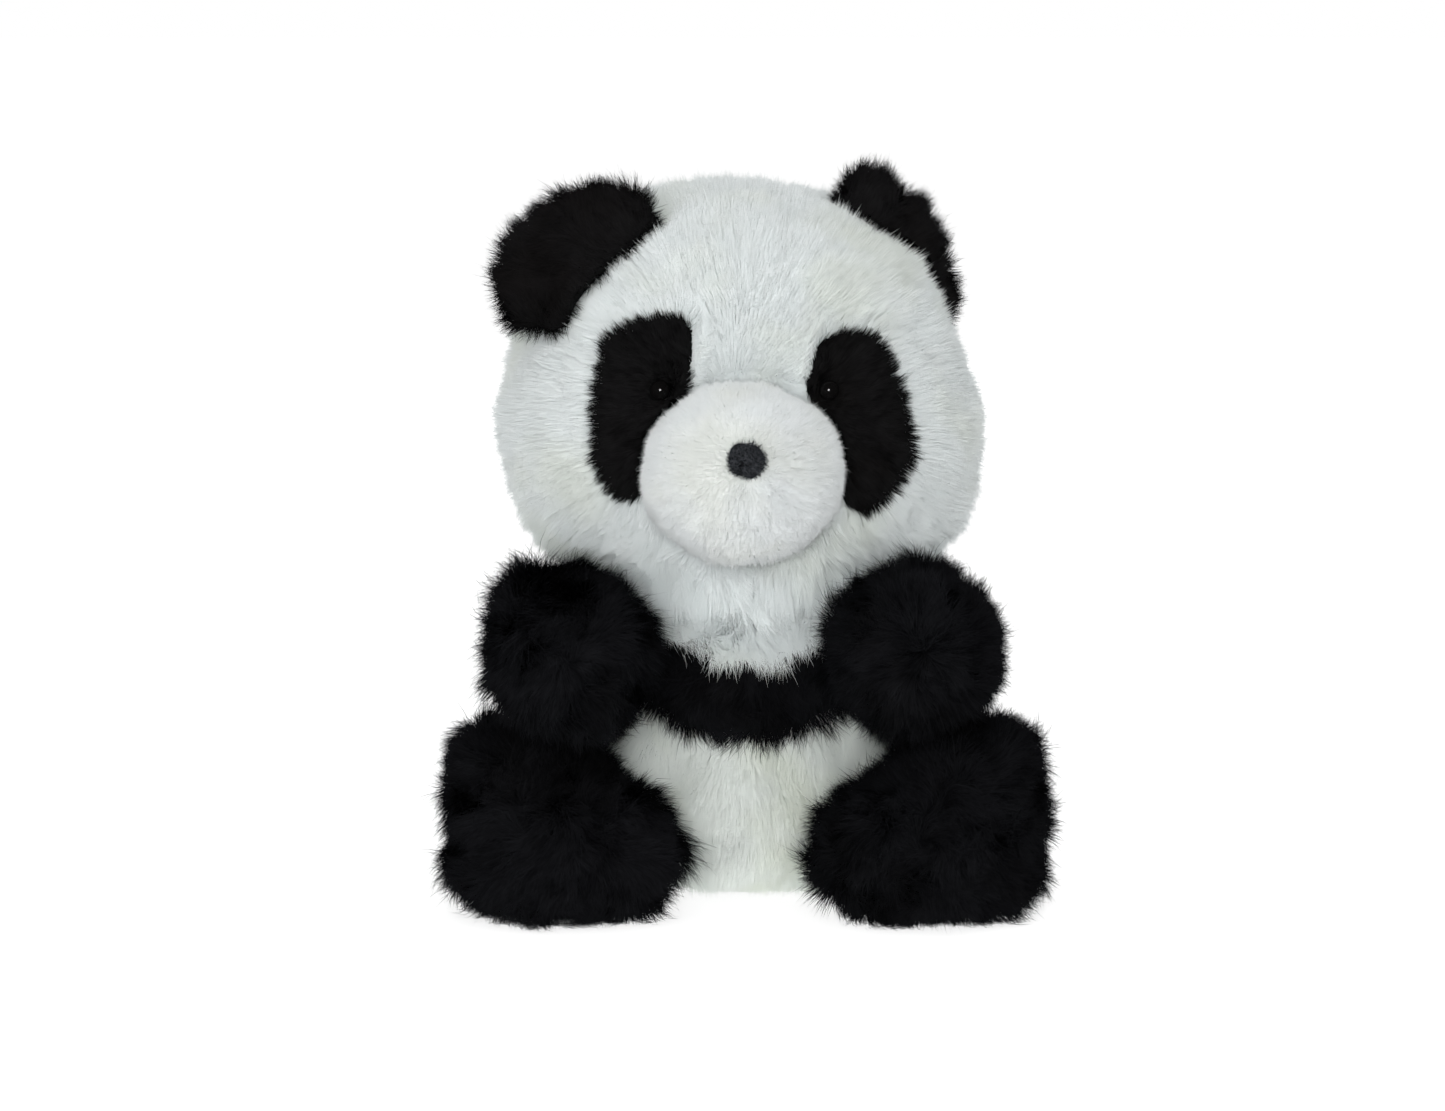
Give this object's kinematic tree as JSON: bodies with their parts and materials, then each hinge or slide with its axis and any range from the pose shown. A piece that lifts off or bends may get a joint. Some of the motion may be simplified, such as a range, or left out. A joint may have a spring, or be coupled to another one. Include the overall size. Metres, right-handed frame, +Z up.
{
  "type": "plush panda",
  "caption": "Seated furry toy panda with black ears, eye patches, chest band, arms and legs, a domed muzzle, and a head, arms and legs that turn on hidden joints.",
  "frame": {"origin": "centre of the flat patch under the torso that the toy sits on", "axes": "+Z up, the face looks along -Y, +X is to a viewer's right when the face is seen"},
  "size_m": [0.2346, 0.1935, 0.293],
  "materials": {
    "white_fur": "long soft pile, matt",
    "cream_fur": "long soft pile, matt",
    "black_fur": "long shaggy pile, matt with a faint sheen",
    "black_patch_fur": "medium pile, matt",
    "black_ear_fur": "soft fluffy pile, matt",
    "short_white_plush": "short dense pile, matt",
    "charcoal_felt": "fuzzy felt",
    "black_bead": "polished",
    "pale_plastic": "moulded",
    "lock_plastic": "moulded",
    "polyester_filling": "loose fibre fill"
  },
  "bodies": {
    "torso": {"chest_bib": "white_fur", "chest_band": "black_fur", "belly_panel": "cream_fur", "back_panel": "cream_fur", "torso_stuffing": "polyester_filling", "neck_disc": "pale_plastic", "shoulder_disc_left": "pale_plastic", "shoulder_disc_right": "pale_plastic", "hip_disc_left": "pale_plastic", "hip_disc_right": "pale_plastic"},
    "head": {"head_front_left": "white_fur", "head_front_right": "white_fur", "head_back": "white_fur", "eye_patch_left": "black_patch_fur", "eye_patch_right": "black_patch_fur", "muzzle_cover": "short_white_plush", "muzzle_stuffing": "polyester_filling", "nose": "charcoal_felt", "eye_left": "black_bead", "eye_right": "black_bead", "eye_washer_left": "pale_plastic", "eye_washer_right": "pale_plastic", "head_stuffing": "polyester_filling", "ear_front_left": "black_ear_fur", "ear_back_left": "black_ear_fur", "ear_front_right": "black_ear_fur", "ear_back_right": "black_ear_fur", "neck_stud": "pale_plastic", "neck_lock": "lock_plastic"},
    "arm_left": {"arm_cover_left": "black_fur", "arm_stuffing_left": "polyester_filling", "shoulder_stud_left": "pale_plastic", "shoulder_lock_left": "lock_plastic"},
    "leg_left": {"leg_cover_left": "black_fur", "foot_sole_left": "black_fur", "leg_stuffing_left": "polyester_filling", "hip_stud_left": "pale_plastic", "hip_lock_left": "lock_plastic"},
    "arm_right": {"arm_cover_right": "black_fur", "arm_stuffing_right": "polyester_filling", "shoulder_stud_right": "pale_plastic", "shoulder_lock_right": "lock_plastic"},
    "leg_right": {"leg_cover_right": "black_fur", "foot_sole_right": "black_fur", "leg_stuffing_right": "polyester_filling", "hip_stud_right": "pale_plastic", "hip_lock_right": "lock_plastic"}
  },
  "joints": [
    {"name": "neck_turn", "type": "hinge", "parent": "torso", "child": "head", "pos_m": [0, 0.005, 0.124], "axis": [0, 0, 1], "range_deg": [-30, 30]},
    {"name": "shoulder_left_swing", "type": "hinge", "parent": "torso", "child": "arm_left", "pos_m": [-0.05, -0.006, 0.095], "axis": [-1, 0, 0], "range_deg": [-4, 3]},
    {"name": "shoulder_right_swing", "type": "hinge", "parent": "torso", "child": "arm_right", "pos_m": [0.05, -0.006, 0.095], "axis": [-1, 0, 0], "range_deg": [-4, 3]},
    {"name": "hip_left_swing", "type": "hinge", "parent": "torso", "child": "leg_left", "pos_m": [-0.058, -0.008, 0.034], "axis": [1, 0, 0], "range_deg": [0, 90]},
    {"name": "hip_right_swing", "type": "hinge", "parent": "torso", "child": "leg_right", "pos_m": [0.058, -0.008, 0.034], "axis": [1, 0, 0], "range_deg": [0, 90]}
  ]
}
